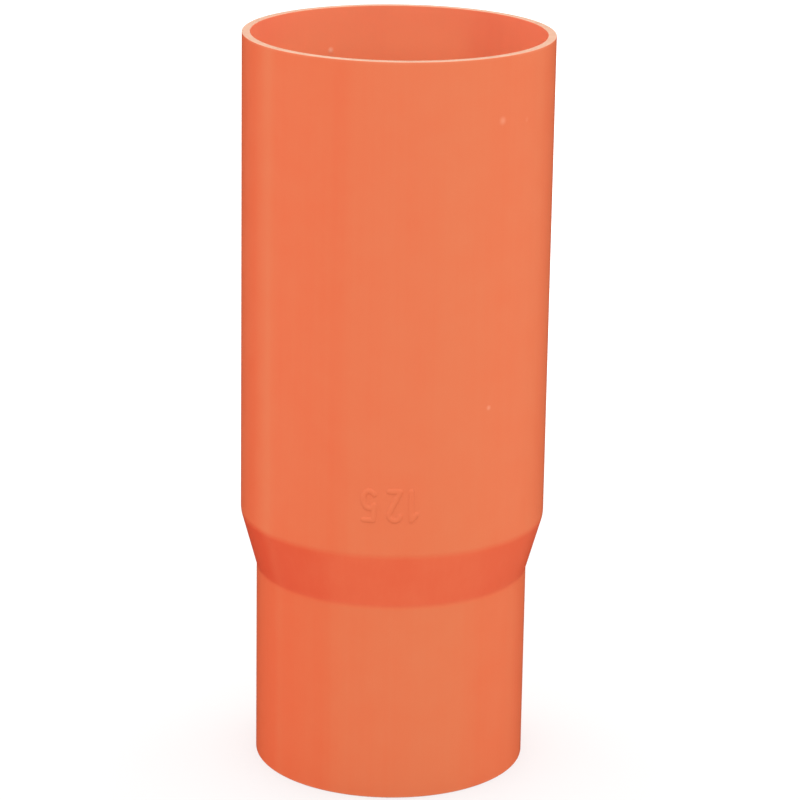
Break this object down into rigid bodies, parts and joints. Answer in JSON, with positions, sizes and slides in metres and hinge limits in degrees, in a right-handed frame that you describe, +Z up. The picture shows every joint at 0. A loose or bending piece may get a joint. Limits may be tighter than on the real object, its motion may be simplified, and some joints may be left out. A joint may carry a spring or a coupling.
{
  "type": "pipe repair coupling",
  "caption": "Orange PVC drain-pipe repair coupling: a long plain sleeve slips over one pipe and a short cone narrows it to a spigot that slips inside the next pipe.",
  "frame": {"origin": "centre of the spigot's foot, on the floor that the coupling stands on", "axes": "+Z up along the pipe axis, from the spigot's foot to the sleeve's mouth; the part is round, so X and Y are free, and -Y faces the picture's camera"},
  "size_m": [0.1326, 0.1326, 0.3235],
  "materials": {
    "orange_pvc": "satin"
  },
  "bodies": {
    "root": {"coupling_body": "orange_pvc"}
  },
  "joints": []
}
